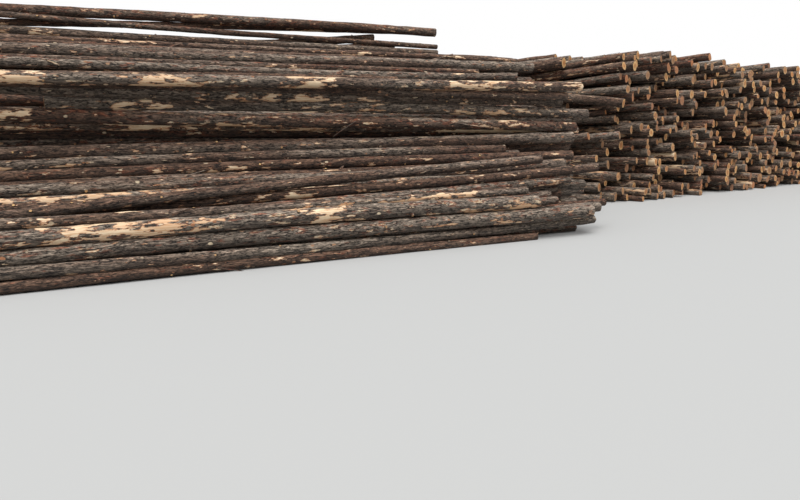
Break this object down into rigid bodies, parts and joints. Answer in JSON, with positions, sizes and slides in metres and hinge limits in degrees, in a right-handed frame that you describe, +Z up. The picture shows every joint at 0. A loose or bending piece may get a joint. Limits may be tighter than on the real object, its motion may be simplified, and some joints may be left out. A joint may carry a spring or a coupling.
{
  "type": "heap of logs",
  "caption": "Heap of long bark-covered logs in two decks that meet at an angle, for timber yards, mills and forest roads.",
  "frame": {"origin": "centre of the heap's footprint, on the ground", "axes": "+X along the logs of the front deck towards their end wall, +Y from the front face to the back, +Z up"},
  "size_m": [27.9956, 18.2448, 3.9376],
  "materials": {
    "log": "rough bark with sawn ends"
  },
  "bodies": {
    "root": {"far_deck_bay_1_tier_1": "log", "far_deck_bay_1_tier_2": "log", "far_deck_bay_1_tier_3": "log", "far_deck_bay_1_tier_4": "log", "far_deck_bay_1_tier_5": "log", "far_deck_bay_1_tier_6": "log", "far_deck_bay_2_tier_1": "log", "far_deck_bay_2_tier_2": "log", "far_deck_bay_2_tier_3": "log", "far_deck_bay_2_tier_4": "log", "far_deck_bay_2_tier_5": "log", "far_deck_bay_2_tier_6": "log", "far_deck_bay_3_tier_1": "log", "far_deck_bay_3_tier_2": "log", "far_deck_bay_3_tier_3": "log", "far_deck_bay_3_tier_4": "log", "far_deck_bay_3_tier_5": "log", "far_deck_bay_3_tier_6": "log", "far_deck_bay_4_tier_1": "log", "far_deck_bay_4_tier_2": "log", "far_deck_bay_4_tier_3": "log", "far_deck_bay_4_tier_4": "log", "far_deck_bay_4_tier_5": "log", "far_deck_bay_4_tier_6": "log", "front_deck_bay_1_tier_1": "log", "front_deck_bay_1_tier_2": "log", "front_deck_bay_1_tier_3": "log", "front_deck_bay_1_tier_4": "log", "front_deck_bay_1_tier_5": "log", "front_deck_bay_1_tier_6": "log", "front_deck_bay_2_tier_1": "log", "front_deck_bay_2_tier_2": "log", "front_deck_bay_2_tier_3": "log", "front_deck_bay_2_tier_4": "log", "front_deck_bay_2_tier_5": "log", "front_deck_bay_2_tier_6": "log", "front_deck_bay_3_tier_1": "log", "front_deck_bay_3_tier_2": "log", "front_deck_bay_3_tier_3": "log", "front_deck_bay_3_tier_4": "log", "front_deck_bay_3_tier_5": "log", "front_deck_bay_3_tier_6": "log", "front_deck_bay_4_tier_1": "log", "front_deck_bay_4_tier_2": "log", "front_deck_bay_4_tier_3": "log", "front_deck_bay_4_tier_4": "log", "front_deck_bay_4_tier_5": "log", "front_deck_bay_4_tier_6": "log"}
  },
  "joints": []
}
